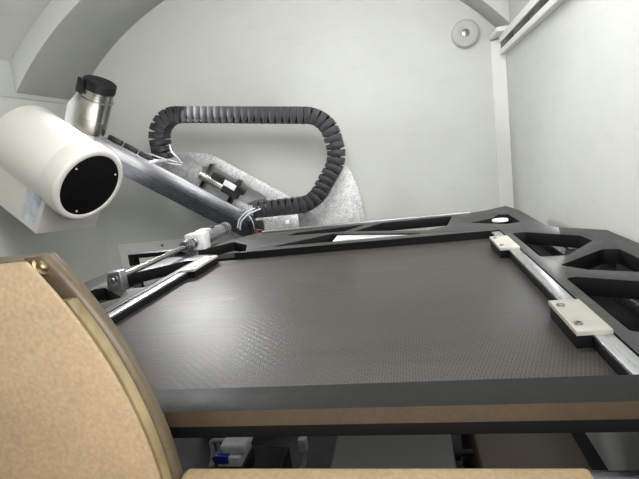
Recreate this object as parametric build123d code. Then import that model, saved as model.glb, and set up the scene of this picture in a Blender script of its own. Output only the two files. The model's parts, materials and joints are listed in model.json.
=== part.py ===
from build123d import *
import math
import os

os.makedirs("parts", exist_ok=True)

# Cabinet, all sizes in millimetres, X to the right, Y to the back, Z up from the floor
cab_width = 1456.0
cab_depth = 1620.0
wall = 40.0
foot_height = 60.0
base_height = 60.0
bay_floor_t = 4.0
chamber_floor_z = 560.0
chamber_floor_t = 40.0
spring_z = 1430.0
roof_lip = 99.8
vault_r = 963.0
roof_t = 37.0
rib_band = 58.0
rib_depth = 271.0
panel_gap = 0.3
skin_t = 25.0

# Loading opening and sliding door
load_side = 28.0
load_margin = 48.0
load_z0 = 940.0
load_drop = 30.0
door_overlap = 12.0
door_t = 18.0
door_clear = 10.0
window_size = 220.0
window_t = 12.0

# Equipment bay doors
bay_margin = 48.0
bay_z0 = 170.0
bay_z1 = 500.0
bay_lip = 14.0
hinge_r = 6.0
run_fit = 0.05

# Swing arm axis, shared by the fan plate, hub and detector
swing_reach = 589.0
swing_z = 972.0
beam_y = 218.0

# Stage
top_z = 1000.0
wall_clear = 9.0
side_reach = 415.0
left_reach = 437.0
frame_t = 20.0
open_half_x = 272.0
open_front_y = -461.0
open_back_y = 97.0
front_bar = 34.0
tray_drop = 13.0
tray_t = 3.0
rail_x = 385.0
rail_w = 15.0
rail_h = 14.0
block_h = 30.0
slide_fit = 0.3
beam_w = 60.0
beam_h = 40.0
bed_front_y = -400.0
bed_rear_y = 370.0
bed_w = 50.0

# Derived cabinet values
half_w = cab_width / 2
half_d = cab_depth / 2
in_x = half_w - wall
in_y = half_d - wall
base_top = foot_height + base_height
front_y = -half_d
rear_y = half_d
vault_z = spring_z + roof_lip - math.sqrt(vault_r ** 2 - in_x ** 2)
rib_r = vault_r - rib_band
over_top = vault_z + vault_r + 2 * roof_t
load_w = half_w - load_margin
load_x1 = in_x - load_side
load_x0 = load_x1 - load_w
load_z1 = spring_z - load_drop
door_travel = load_w + door_clear

# Places of the stage and of the swing axis in the cabinet
tray_x = in_x - wall_clear - side_reach
swing_x = swing_reach - in_x
frame_front_y = open_front_y - front_bar


def block(x0, x1, y0, y1, z0, z1):
    centre = Pos((x0 + x1) / 2, (y0 + y1) / 2, (z0 + z1) / 2)
    return centre * Box(abs(x1 - x0), abs(y1 - y0), abs(z1 - z0))


def bar_y(x, z, y0, y1, r):
    """Round bar along Y."""
    return Pos(x, (y0 + y1) / 2, z) * Rot(90, 0, 0) * Cylinder(r, abs(y1 - y0))


def bar_x(y, z, x0, x1, r):
    """Round bar along X."""
    return Pos((x0 + x1) / 2, y, z) * Rot(0, 90, 0) * Cylinder(r, abs(x1 - x0))


def bar_z(x, y, z0, z1, r):
    """Round bar along Z."""
    return Pos(x, y, (z0 + z1) / 2) * Cylinder(r, abs(z1 - z0))


def plate_xz(points, y0, y1):
    """Flat plate with an outline in the XZ plane, from y0 back to y1."""
    face = make_face(Polyline(*[(x, y0, z) for x, z in points], close=True))
    return extrude(face, amount=y1 - y0, dir=(0, 1, 0))


def plate_xy(points, z0, z1):
    """Flat plate with an outline in the XY plane, from z0 up to z1."""
    face = make_face(Polyline(*[(x, y, z0) for x, y in points], close=True))
    return extrude(face, amount=z1 - z0, dir=(0, 0, 1))


def disc_y(x, z, r, y0, y1):
    """Flat disc facing along Y."""
    return bar_y(x, z, y0, y1, r)


def group(shapes):
    return Compound(children=list(shapes))


nodes = {}


# Base, feet and floors
rim = block(-half_w, half_w, -half_d, half_d, foot_height, base_top)
bays = Part()
for cell_x in (-1, 1):
    x_in = cell_x * base_height / 2
    x_out = cell_x * (half_w - base_height)
    bays += block(x_in, x_out, -half_d + base_height, half_d - base_height, foot_height, base_top)
nodes["base_frame"] = rim - bays

foot_r = 40.0
foot_inset = 60.0
pad_h = 14.0
stem_r = 12.0
nut_r = 20.0
nut_h = 8.0
feet = []
for sx in (-1, 1):
    for sy in (-1, 1):
        fx = sx * (half_w - foot_inset)
        fy = sy * (half_d - foot_inset)
        pad = bar_z(fx, fy, 0, pad_h, foot_r)
        stem = bar_z(fx, fy, pad_h, foot_height, stem_r)
        nut = Pos(fx, fy, foot_height - nut_h) * extrude(RegularPolygon(nut_r, 6), amount=nut_h)
        feet.append(pad + stem + nut)
nodes["levelling_feet"] = group(feet)
bay_floor = block(-in_x, in_x, -in_y, in_y, base_top, base_top + bay_floor_t)
chamber_floor = block(-in_x, in_x, -in_y, in_y, chamber_floor_z - chamber_floor_t, chamber_floor_z)
nodes["floors"] = group([bay_floor, chamber_floor])

# Side, rear and front walls under one barrel vault
left_wall = block(-half_w, -in_x, -half_d, half_d, base_top, spring_z)
right_wall = block(in_x, half_w, -half_d, half_d, base_top, spring_z)
nodes["side_walls"] = group([left_wall, right_wall])


def vault_disc(r, y0, y1):
    """Upright disc on the vault axis."""
    return disc_y(0, vault_z, r, y0, y1)


def arch_wall(y0, y1):
    """End wall whose top follows the vault."""
    low = block(-in_x, in_x, y0, y1, base_top, vault_z + vault_r)
    cap = vault_disc(vault_r - panel_gap, y0, y1) + block(-in_x, in_x, y0, y1, base_top, spring_z)
    return low & cap


nodes["rear_wall"] = arch_wall(in_y, rear_y)
front = arch_wall(front_y, -in_y)
front -= block(load_x0, load_x1, front_y - 1, -in_y + 1, load_z0, load_z1)
bay_x0 = bay_margin / 2
bay_x1 = in_x - bay_margin
for sx in (-1, 1):
    front -= block(sx * bay_x0, sx * bay_x1, front_y - 1, -in_y + 1, bay_z0, bay_z1)
nodes["front_wall"] = front

over_walls = block(-half_w, half_w, front_y, rear_y, spring_z, over_top)
between_walls = block(-in_x, in_x, front_y, rear_y, spring_z, over_top)
roof_out = vault_disc(vault_r + roof_t, front_y, rear_y) & over_walls
nodes["roof_shell"] = roof_out - (vault_disc(vault_r, front_y, rear_y) & between_walls)
rib_y0 = in_y - rib_depth
rib_clip = block(-in_x, in_x, rib_y0, in_y, spring_z, over_top)
rib = vault_disc(vault_r, rib_y0, in_y) - vault_disc(rib_r, rib_y0 - 1, in_y + 1)
nodes["arch_rib"] = rib & rib_clip

# Service cover on the back, with ventilation slots
cover_inset = 60.0
cover_x = in_x - cover_inset
cover = block(-cover_x, cover_x, rear_y, rear_y + skin_t, base_top + cover_inset, chamber_floor_z - 20)
vent_count = 8
vent_pitch = 30.0
vent_w = 360.0
vent_h = 10.0
for side in (-1, 1):
    for i in range(vent_count):
        vz = base_top + cover_inset + 70 + i * vent_pitch
        vx = side * cover_x / 2
        cover -= block(vx - vent_w / 2, vx + vent_w / 2, rear_y - 1, rear_y + skin_t + 1, vz, vz + vent_h)
nodes["rear_cover"] = cover

# Corner trim, lamp bar and wall boss inside the chamber
trim_leg = 34.0
trim_t = 3.0
trim_x = in_x - panel_gap
trim_y = in_y - panel_gap
# The trim is a flat closing strip set across the rear right corner
skew_t = trim_t * math.sqrt(2)
strip = plate_xy([(trim_x - trim_leg, trim_y), (trim_x, trim_y - trim_leg),
                  (trim_x, trim_y - trim_leg + skew_t), (trim_x - trim_leg + skew_t, trim_y)],
                 chamber_floor_z, spring_z - 2)
trim_screws = []
trim_screw_r = 4.0
trim_screw_pitch = 170.0
corner = Plane(origin=(trim_x - trim_leg / 2, trim_y - trim_leg / 2, 0), x_dir=(0, 0, 1), z_dir=(-1, -1, 0))
for i in range(3):
    screw_z = spring_z - 90 - i * trim_screw_pitch
    trim_screws.append(corner.location * Pos(screw_z, 0, 1) * Cylinder(trim_screw_r, 2))

lamp_h = 50.0
lamp_w = 18.0
lamp_slot_h = 18.0
lamp_slot_d = 9.0
lamp_end = 4.0
lamp_y0 = -in_y + 30
lamp_y1 = in_y - trim_leg - 6
slot_z0 = spring_z - lamp_h + 14
slot_x0 = in_x - lamp_w
lamp_box = block(slot_x0, in_x, lamp_y0, lamp_y1, spring_z - lamp_h, spring_z)
lamp_box -= block(slot_x0 - 1, slot_x0 + lamp_slot_d, lamp_y0 + lamp_end, lamp_y1 - lamp_end,
                  slot_z0, slot_z0 + lamp_slot_h)
lamp_bars = []
lamp_count = 9
lamp_gap = 6.0
lamp_run = (lamp_y1 - lamp_y0 - 2 * lamp_end) / lamp_count
for i in range(lamp_count):
    ly = lamp_y0 + lamp_end + i * lamp_run + lamp_gap / 2
    lamp_bars.append(block(slot_x0 + 3, slot_x0 + lamp_slot_d, ly, ly + lamp_run - lamp_gap,
                           slot_z0 + panel_gap, slot_z0 + lamp_slot_h - panel_gap))

# Round boss with a sunk screw on the rear wall
boss_x = in_x - 103
boss_z = spring_z + 28
boss_r = 38.0
boss_t = 24.0
boss_screw_r = 10.0
boss_sink = 3.0
boss_screw_y0 = in_y - boss_t + boss_sink
boss_screw_y1 = boss_screw_y0 + 6
boss = disc_y(boss_x, boss_z, boss_r, in_y - boss_t, in_y)
boss = fillet(boss.edges().filter_by(GeomType.CIRCLE).sort_by(Axis.Y)[0], boss_t / 4)
boss -= disc_y(boss_x, boss_z, boss_screw_r, in_y - boss_t - 1, boss_screw_y1)
boss_screw = disc_y(boss_x, boss_z, boss_screw_r - 0.1, boss_screw_y0, boss_screw_y1)

# Low cover panel on the rear wall, left of the swing bearing
bearing_r = 75.0
low_panel_t = 3.0
low_panel_z1 = swing_z - 32
low_panel_x1 = swing_x - bearing_r - 6
low_panel = block(-in_x + 50, low_panel_x1, in_y - low_panel_t, in_y, chamber_floor_z + 60, low_panel_z1)
low_panel_y = in_y - low_panel_t
panel_screw = disc_y(-in_x + 217, low_panel_z1 - 15, 5, low_panel_y - 2, low_panel_y)
nodes["interior_trim"] = group([strip, lamp_box, boss, low_panel])

# Sill of the loading opening
sill_z = top_z - 32
sill_h = 60.0
sill_x1 = tray_x + 212
shield_cx = tray_x - 326
shield_cz = top_z - 52
shield_r = 283.0
shield_gap = 45.0
shield_y0 = frame_front_y - shield_gap
shield_t = 30.0
sill_z0 = sill_z - sill_h
sill = block(load_x0, sill_x1, -in_y, shield_y0 - 1, sill_z0, sill_z)
sill += block(shield_cx + shield_r + 1, sill_x1, shield_y0 - 1, shield_y0 + shield_t, sill_z0, sill_z)
leg_w = 40.0
leg_y = -in_y + leg_w
for lx in (load_x0 + leg_w, sill_x1 - leg_w):
    sill += block(lx - leg_w / 2, lx + leg_w / 2, leg_y - leg_w / 2, leg_y + leg_w / 2,
                  chamber_floor_z, sill_z0)
nodes["loading_sill"] = sill

# Round-edged shield beside the loading opening: skin, core, seal strip and rounded back plate
shield_top = shield_cz + 176
skin_sheet = 3.0
groove_w = 6.0
seal_w = 9.0


def shield_layer(r, y0, y1, top=shield_top):
    layer = disc_y(shield_cx, shield_cz, r, y0, y1)
    layer &= block(shield_cx - r, shield_cx + r, y0, y1, shield_cz - r, top)
    return layer


s0 = shield_y0
s1 = s0 + skin_sheet
s2 = s1 + groove_w
s3 = s2 + seal_w
s4 = shield_y0 + shield_t
nodes["shield_skin"] = shield_layer(shield_r, s0, s1)
seal_depth = 12.0
core_r = shield_r - seal_depth
core = shield_layer(core_r, s1, s3)
seal = disc_y(shield_cx, shield_cz, shield_r - 3, s2, s3)
seal -= disc_y(shield_cx, shield_cz, core_r + 0.1, s2 - 1, s3 + 1)
seal &= block(shield_cx, shield_cx + shield_r, s2, s3, shield_cz - 150, shield_top - 28)
nodes["shield_seal"] = seal
back_plate = shield_layer(shield_r, s3, s4)
rim_edges = back_plate.edges().filter_by(GeomType.CIRCLE)
nodes["shield_back_plate"] = fillet(rim_edges, 5)
screw_r = 6.0
shield_screw = bar_z(shield_cx + 20, (s1 + s3) / 2, shield_top, shield_top + 3, screw_r)
nodes["fixed_screws"] = group(trim_screws + [boss_screw, panel_screw, shield_screw])
foot_plate = block(shield_cx - 120, shield_cx + 120, s0, s4, chamber_floor_z, chamber_floor_z + 12)
column = block(shield_cx - 60, shield_cx + 60, s1, s3, chamber_floor_z + 12, shield_cz)
nodes["shield_core"] = core + column + foot_plate

# Stage bed: two cross beams on posts, each with a rail along X
y_rail_z0 = top_z - frame_t - block_h - 6
carriage_z1 = y_rail_z0
carriage_z0 = carriage_z1 - beam_h
x_block_z1 = carriage_z0
x_rail_z0 = x_block_z1 - block_h - 6
bed_z1 = x_rail_z0
bed_z0 = bed_z1 - 60
post = 50.0
post_in = 60.0


def bed_beam(y):
    beam = block(-in_x, in_x, y - bed_w / 2, y + bed_w / 2, bed_z0, bed_z1)
    for px in (-in_x + post_in, in_x - post_in):
        beam += block(px - post / 2, px + post / 2, y - bed_w / 2, y + bed_w / 2, chamber_floor_z, bed_z0)
    return beam


beams = [bed_beam(bed_front_y), bed_beam(bed_rear_y)]
rail_end = 15.0
x_rails = []
for y in (bed_front_y, bed_rear_y):
    x_rails.append(block(-in_x + rail_end, in_x - rail_end, y - rail_w / 2, y + rail_w / 2,
                         x_rail_z0, x_rail_z0 + rail_h))
nodes["stage_bed"] = group(beams + x_rails)

block_l = 70.0
block_w = 46.0


def x_runner(x, y):
    body = block(x - block_l / 2, x + block_l / 2, y - block_w / 2, y + block_w / 2,
                 x_rail_z0 + 6, x_block_z1)
    channel = block(x - block_l, x + block_l, y - rail_w / 2 - slide_fit, y + rail_w / 2 + slide_fit,
                    x_rail_z0, x_rail_z0 + rail_h + slide_fit)
    return body - channel


right_rail_x = tray_x + rail_x - rail_w
left_rail_x = tray_x - rail_x
x_runners = []
for x in (left_rail_x, right_rail_x):
    for y in (bed_front_y, bed_rear_y):
        x_runners.append(x_runner(x, y))

# Cross carriage: two side beams and a rear tie, with rails along Y
car_y0 = bed_front_y - 60
car_y1 = bed_rear_y + 30
carriage = Part()
for x in (left_rail_x, right_rail_x):
    carriage += block(x - beam_w / 2, x + beam_w / 2, car_y0, car_y1, carriage_z0, carriage_z1)
carriage += block(left_rail_x, right_rail_x, car_y1 - 60, car_y1, carriage_z0, carriage_z1)
nodes["cross_carriage"] = carriage
y_rails = []
for x in (left_rail_x, right_rail_x):
    y_rails.append(block(x - rail_w / 2, x + rail_w / 2, car_y0 + 10, car_y1 - 10,
                         y_rail_z0, y_rail_z0 + rail_h))
nodes["carriage_guides"] = group(x_runners + y_rails)


def y_runner(x, y):
    body = block(x - block_w / 2, x + block_w / 2, y - block_l / 2, y + block_l / 2,
                 y_rail_z0 + 6, top_z - frame_t)
    channel = block(x - rail_w / 2 - slide_fit, x + rail_w / 2 + slide_fit, y - block_l, y + block_l,
                    y_rail_z0, y_rail_z0 + rail_h + slide_fit)
    return body - channel


runner_front_y = bed_front_y
runner_rear_y = -40.0
nodes["y_runners"] = group(y_runner(x, y) for x in (left_rail_x, right_rail_x)
                           for y in (runner_front_y, runner_rear_y))

# Milled stage frame with a truss of triangular windows round the tray opening
frame_back_y = 336.0
outline = [
    (side_reach, frame_front_y), (side_reach, open_back_y - 80), (side_reach - 66, open_back_y - 9),
    (side_reach - 66, frame_back_y - 26), (side_reach - 78, frame_back_y + 55),
    (open_half_x + 18, frame_back_y + 14), (open_half_x - 10, frame_back_y),
    (-open_half_x + 32, frame_back_y), (-open_half_x + 6, frame_back_y - 40),
    (-open_half_x - 45, frame_back_y - 109),
    (-open_half_x - 79, frame_back_y - 165), (-left_reach + 38, open_back_y - 28),
    (-left_reach, open_back_y - 72), (-left_reach, frame_front_y),
]
frame = plate_xy([(tray_x + x, y) for x, y in outline], top_z - frame_t, top_z)
frame -= block(tray_x - open_half_x, tray_x + open_half_x, open_front_y, open_back_y,
               top_z - frame_t - 1, top_z + 1)


def window(points, r):
    """Rounded window cut through the frame plate."""
    cut = plate_xy(points, top_z - frame_t - 1, top_z + 1)
    return fillet(cut.edges().filter_by(Axis.Z), r)


# Windows are given as shares of the bar that they lighten: across it, and along it
side_in = open_half_x + 12
side_out = side_reach - 32
window_r = 6.0
side_window_r = min(window_r, (side_out - side_in) / 16)
back_in = open_back_y + 30
back_out = frame_back_y - 28
back_window_r = min(window_r, (back_out - back_in) / 45)
side_windows = [
    [(0, 0.928), (0, 0.608), (0.32, 0.602), (0.89, 0.737), (0.86, 0.81), (0.21, 0.928)],
    [(0.1, 0.518), (0.81, 0.636), (1, 0.625), (1, 0.486), (0.79, 0.421), (0.32, 0.468)],
    [(0, 0.418), (0.12, 0.421), (1, 0.321), (1, 0.26), (0, 0.116)],
    [(0.06, 0.045), (1, 0.17), (1, 0.005), (0.4, -0.002)],
]
back_windows = [
    [(-0.566, 0), (0.559, 0), (-0.17, 0.497)],
    [(-0.551, 0.67), (-0.485, 0.856), (0.074, 1), (-0.074, 0.602)],
    [(0, 0.547), (0.22, 1), (0.772, 1), (0.699, 0.348), (0.551, 0.182)],
    [(0.86, 0.403), (1.074, 0.127), (1.176, 0.171), (1.169, 0.746), (1.103, 0.8), (1.044, 0.58)],
    [(-0.735, -0.094), (-0.846, -0.204), (-1.103, -0.094), (-1.184, 0.182), (-0.985, 0.58),
     (-0.81, 0.293)],
]
side_w = side_out - side_in
side_l = open_back_y - open_front_y
for shares in side_windows:
    for s in (-1, 1):
        corners = [(tray_x + s * (side_in + u * side_w), open_front_y + v * side_l) for u, v in shares]
        frame -= window(corners, side_window_r)
for shares in back_windows:
    corners = [(tray_x + u * open_half_x, back_in + v * (back_out - back_in)) for u, v in shares]
    frame -= window(corners, back_window_r)
nodes["stage_frame"] = frame

# Tray with its side rails, retaining strips and clamps
tray_z1 = top_z - tray_drop
tray_z0 = tray_z1 - tray_t
tray_clear = 3.0
tray_hx = open_half_x - 8
nodes["tray_plate"] = block(tray_x - tray_hx, tray_x + tray_hx, open_front_y + tray_clear,
                            open_back_y - tray_clear, tray_z0, tray_z1)
ledge_w = 22.0
side_rails = []
strips = []
strip_w = 14.0
strip_t = 3.0
strip_z1 = top_z - 1
for s in (-1, 1):
    x_out = tray_x + s * open_half_x
    x_lip = tray_x + s * (open_half_x - ledge_w)
    x_wall = tray_x + s * (tray_hx + 0.5)
    ledge = block(x_lip, x_out, open_front_y, open_back_y, top_z - frame_t, tray_z0)
    ledge += block(x_wall, x_out, open_front_y, open_back_y, tray_z0, strip_z1 - strip_t)
    side_rails.append(ledge)
    x_strip = tray_x + s * (open_half_x - 1)
    strips.append(block(x_strip - s * strip_w, x_strip, open_front_y + 2, open_back_y - 8,
                        strip_z1 - strip_t, strip_z1))
nodes["tray_side_rails"] = group(side_rails)
strips.append(block(tray_x - open_half_x + 42, tray_x + open_half_x - 22, frame_back_y - strip_w,
                    frame_back_y - 1, top_z, top_z + strip_t + 1))
nodes["bright_strips"] = group(strips)

clamp_w = 27.0
clamp_t = 4.0
clamp_spots = [(1, -18, 92), (1, -350, 80), (-1, 20, 110), (-1, -330, 80)]
clamp_plates = []
clamp_blocks = []
clamp_bolts = []
bolt_r = 3.5
for s, yc, length in clamp_spots:
    x1 = tray_x + s * (open_half_x - 1)
    x0 = x1 - s * clamp_w
    plate = block(x0, x1, yc - length / 2, yc + length / 2, strip_z1, strip_z1 + clamp_t)
    xb1 = x1 - s * strip_w - s * 0.5
    body = block(x0 + s * 0.5, xb1, yc - length / 2 + 3, yc + length / 2 - 3, tray_z1, strip_z1)
    bx = (x0 + xb1) / 2
    for dy in (-length * 0.3, length * 0.3):
        plate -= bar_z(bx, yc + dy, strip_z1 - 1, strip_z1 + clamp_t + 1, bolt_r)
        head = bar_z(bx, yc + dy, strip_z1, strip_z1 + clamp_t + 1.6, bolt_r)
        head -= Pos(bx, yc + dy, strip_z1 + clamp_t) * extrude(RegularPolygon(1.7, 6), amount=3)
        clamp_bolts.append(head)
    clamp_plates.append(plate)
    clamp_blocks.append(body)
nodes["tray_clamps"] = group(clamp_plates + clamp_blocks)
nodes["clamp_bolts"] = group(clamp_bolts)

# Screw drive of the stage along Y, carried on the frame
drive_x = tray_x - 330
motor_r = 16.0
drive_z = top_z + motor_r + 1
drive_block_y = 184.0
block_half = 16.0
rod_r = 6.0
rod_end_y = -122.0
rod_end_half = 9.0
gear_l = 44.0
motor_l = 112.0
saddle = block(drive_x - 21, drive_x + 21, drive_block_y - block_half, drive_block_y + block_half,
               top_z, drive_z + 17)
end_saddle = block(drive_x - 12, drive_x + 12, rod_end_y - rod_end_half, rod_end_y + rod_end_half,
                   top_z, drive_z + 12)
saddles = []
for piece in (saddle, end_saddle):
    saddles.append(piece - bar_y(drive_x, drive_z, rod_end_y - 20, drive_block_y + 20, rod_r + run_fit))
nodes["screw_bearing_block"] = group(saddles)
gear_y0 = drive_block_y + block_half
screw = bar_y(drive_x, drive_z, rod_end_y - rod_end_half - 5, gear_y0 + 6, rod_r)
screw += bar_y(drive_x, drive_z, drive_block_y - block_half - 9, drive_block_y - block_half - 1, 10)
nodes["drive_screw"] = screw
gearhead = bar_y(drive_x, drive_z, gear_y0, gear_y0 + gear_l, motor_r)
gearhead += block(drive_x - 14, drive_x + 10, gear_y0 + 4, gear_y0 + gear_l - 4,
                  drive_z, drive_z + motor_r + 3)
gearhead -= bar_y(drive_x, drive_z, gear_y0 - 1, gear_y0 + 7, rod_r + 1)
motor_y0 = gear_y0 + gear_l
motor = bar_y(drive_x, drive_z, motor_y0, motor_y0 + motor_l, motor_r - 1)
for i in range(2):
    ring_y = motor_y0 + motor_l - 40 + i * 12
    groove = bar_y(drive_x, drive_z, ring_y, ring_y + 4, 2 * motor_r)
    motor -= groove - bar_y(drive_x, drive_z, ring_y, ring_y + 4, motor_r - 2.5)
motor += bar_z(drive_x, motor_y0 + 24, drive_z, drive_z + motor_r + 2.5, 6)
nodes["drive_motor"] = group([gearhead, motor])
nut_y = 130.0
nut_l = 24.0
screw_nut_r = 12.0
nut = bar_y(drive_x, drive_z, nut_y - nut_l / 2, nut_y + nut_l / 2, screw_nut_r)
nut -= bar_y(drive_x, drive_z, nut_y - nut_l, nut_y + nut_l, rod_r + run_fit)
yoke_x0 = tray_x - left_reach - 22
yoke_t = 12.0
yoke_z0 = top_z + 2.5
yoke_y0 = nut_y - nut_l / 2 + 2
yoke_y1 = nut_y + nut_l / 2 - 2
yoke = block(yoke_x0, yoke_x0 + yoke_t, yoke_y0, yoke_y1, carriage_z0, yoke_z0 + 9)
yoke += block(yoke_x0, left_rail_x - beam_w / 2, yoke_y0, yoke_y1, carriage_z0, carriage_z0 + yoke_t)
yoke += block(yoke_x0, drive_x, yoke_y0, yoke_y1, yoke_z0, yoke_z0 + 9)
yoke -= bar_y(drive_x, drive_z, nut_y - nut_l, nut_y + nut_l, screw_nut_r - 2)
nodes["nut_yoke"] = yoke + nut

# Swing hub: bearing on the rear wall, shaft, hub inside the arm's end, and fan plate
arm_w = 60.0
arm_h = 70.0
arm_wall = 6.0
fan_y = in_y - 74
fan_t = 8.0
fan_r = 345.0
hub_r = arm_h / 2 - arm_wall - panel_gap
shaft_r = 25.0
hub_y0 = in_y - 126
bearing = disc_y(swing_x, swing_z, bearing_r, in_y - 55, in_y)
bearing -= disc_y(swing_x, swing_z, shaft_r + run_fit, in_y - 56, in_y - 12)
nodes["swing_bearing"] = bearing
hub = disc_y(swing_x, swing_z, hub_r, hub_y0, fan_y)
nodes["swing_hub"] = hub + disc_y(swing_x, swing_z, shaft_r, fan_y, in_y - 13)


def at(deg, r):
    a = math.radians(deg)
    return (swing_x + r * math.cos(a), swing_z + r * math.sin(a))


def beside(dx, dz):
    """Point in the swing plane, given from the swing axis."""
    return (swing_x + dx, swing_z + dz)


fan_lo = -14.0
fan_hi = 26.5
fan_edge = [at(fan_lo, fan_r), beside(-20, -70), beside(-75, -40), beside(-273, 198), beside(-273, 250),
            beside(-241, 262), beside(-118, 242), beside(139, 66), beside(209, 74), at(fan_hi, fan_r)]
fan_line = Polyline(*[(x, fan_y, z) for x, z in fan_edge])
fan_mid = at((fan_lo + fan_hi) / 2, fan_r)
fan_arc = ThreePointArc(fan_line @ 1, (fan_mid[0], fan_y, fan_mid[1]), fan_line @ 0)
fan = extrude(make_face([fan_line, fan_arc]), amount=fan_t, dir=(0, 1, 0))
fan_window = [beside(-151, 204), beside(-113, 200), beside(47, 86), beside(44, 65), beside(-15, 64),
              beside(-157, 164)]
fan -= plate_xz(fan_window, fan_y - 1, fan_y + fan_t + 1)
nodes["fan_plate"] = fan - disc_y(swing_x, swing_z, shaft_r, fan_y - 1, fan_y + fan_t + 1)

# Swing arm: a folded channel that runs forward from the hub to the detector
arm_start = Vector(swing_x, in_y - 120, swing_z)
arm_end = Vector(swing_x - 390, in_y - 278, swing_z + 308)
arm_dir = (arm_end - arm_start).normalized()
arm_tail = 32.0
arm_len = (arm_end - arm_start).length + 40
arm_side = Vector(0, 0, 1).cross(arm_dir).normalized()
arm_frame = Plane(origin=arm_start, x_dir=arm_side, z_dir=arm_dir)
arm_step = 4.0
arm_gap = 0.2


def in_arm(x0, x1, y0, y1, z0, z1):
    """Block given in the arm's own frame: x to its front, y to its top, z along it."""
    return arm_frame.location * block(x0, x1, y0, y1, z0, z1)


def arm_envelope(over_top_edge=0.0):
    """The arm's outer form with a small gap all round."""
    return in_arm(-arm_w / 2 - arm_gap, arm_w / 2 + arm_step + arm_gap, -arm_h / 2 - arm_gap,
                  arm_h / 2 + arm_gap + over_top_edge, -arm_tail - 2, arm_len + 2)


channel = in_arm(-arm_w / 2, arm_w / 2, -arm_h / 2, arm_h / 2, -arm_tail, arm_len)
channel += in_arm(arm_w / 2 - 1, arm_w / 2 + arm_step, 0, arm_h / 2, -arm_tail, arm_len)
channel -= in_arm(-arm_w / 2 - 1, arm_w / 2 - arm_wall, -arm_h / 2 + arm_wall, arm_h / 2 - arm_wall,
                  -arm_tail - 1, arm_len + 1)
channel -= disc_y(swing_x, swing_z, hub_r + arm_gap, hub_y0 - 1, fan_y)
plug_l = 40.0
plug_h = 14.0
plugs = []
for i in range(3):
    z0 = arm_len * 0.62 + i * (plug_l + 6)
    plugs.append(in_arm(-14, 10, arm_h / 2, arm_h / 2 + plug_h, z0, z0 + plug_l))
nodes["arm_connectors"] = group(plugs)

# Detector in its own frame: x to the arm side, y up, z forward out of the window
det_face = Vector(swing_x - 274, in_y - 469, swing_z + 187)
det_aim = Vector(0.798, -0.245, -0.551).normalized()
det_side = Vector(0, 0, 1).cross(det_aim).normalized()
det = Plane(origin=det_face, x_dir=det_side, z_dir=det_aim)
det_r = 95.0
ring_r = 98.0
ring_l = 51.0
body_l = 200.0
box_roll = -6.0
box_near = -66.0
box_far = 112.0
box_drop = 160.0
shell_t = 4.0
lens_r = 81.6


def in_det(shape):
    return det.location * shape


def largest(shape):
    """The biggest solid that a cut has left."""
    return shape.solids().sort_by(SortBy.VOLUME)[-1]


def det_body(shrink):
    """Round body on a rolled box, made smaller all round by shrink."""
    round_part = Pos(0, 0, -ring_l - body_l / 2) * Cylinder(det_r - shrink, body_l - 2 * shrink)
    low = block(box_near + shrink, box_far - shrink, -box_drop + shrink, 0,
                -ring_l - body_l + shrink, -ring_l - shrink)
    return round_part + Rot(0, 0, box_roll) * low


channel -= in_det(det_body(-panel_gap))
nodes["swing_arm"] = largest(channel)
core_tube_r = 70.0
shell = det_body(0) - det_body(shell_t) - Pos(0, 0, -ring_l) * Cylinder(core_tube_r + 0.2, 20)
nodes["detector_housing"] = in_det(shell)
ring = Pos(0, 0, -ring_l / 2) * Cylinder(ring_r, ring_l)
ring -= Pos(0, 0, -ring_l / 2) * Cylinder(lens_r + 0.2, ring_l + 2)
nodes["detector_ring"] = in_det(fillet(ring.edges().filter_by(GeomType.CIRCLE).sort_by(Axis.Z)[-2:], 1.5))
lens_z = -2.0
lens_t = 6.0
lens = Pos(0, 0, lens_z - lens_t / 2) * Cylinder(lens_r, lens_t)
tube_l = 155.0
vacuum_tube = Pos(0, 0, lens_z - lens_t - tube_l / 2) * Cylinder(core_tube_r, tube_l)
nodes["image_tube"] = in_det(lens + vacuum_tube)
pins = []
pin_ring_r = 72.0
for deg in (135, 20, 250):
    a = math.radians(deg)
    place = Pos(pin_ring_r * math.cos(a), pin_ring_r * math.sin(a), lens_z + 1)
    pins.append(in_det(place * Cylinder(2.6, 2)))

# Camera on its carrier beside the detector, upright in the detector's frame
cam_x = 145.0
cam_z = -205.0
cam_r = 41.0
barrel_l = 92.0
collar_h = 4.0
head_l = 22.0
cap_h = 26.0
mount_y = 46.0


def cam_ring(r, y0, y1):
    """Round piece on the camera's axis."""
    return Pos(cam_x, (y0 + y1) / 2, cam_z) * Rot(90, 0, 0) * Cylinder(r, y1 - y0)


carrier = block(70, cam_x + cam_r - 12, mount_y - 80, mount_y, cam_z - 48, cam_z + 30)
carrier = in_det(carrier - det_body(-arm_gap)) - arm_envelope()
cam_base = mount_y + 0.1
collar_y0 = cam_base + barrel_l
head_y0 = collar_y0 + collar_h
cap_y0 = head_y0 + head_l
barrel = in_det(cam_ring(cam_r, cam_base, collar_y0)) - arm_envelope(plug_h)
collar = in_det(cam_ring(cam_r + 3, collar_y0, head_y0) + cam_ring(cam_r - 1, head_y0, cap_y0))
nodes["camera_barrel"] = barrel + collar
nodes["camera_cap"] = in_det(cam_ring(cam_r + 2, cap_y0, cap_y0 + cap_h))
fin_z = cam_z - cam_r - 9
fin = block(cam_x - cam_r - 4, cam_x - 4, mount_y, cap_y0 + cap_h, fin_z, fin_z + 5)
fin_foot = block(cam_x - cam_r - 4, cam_x - 4, mount_y - 40, mount_y, fin_z, cam_z - 40)
fin_foot -= det_body(-arm_gap)
nodes["detector_carrier"] = largest(carrier) + (in_det(fin + fin_foot) - arm_envelope(plug_h))

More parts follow.
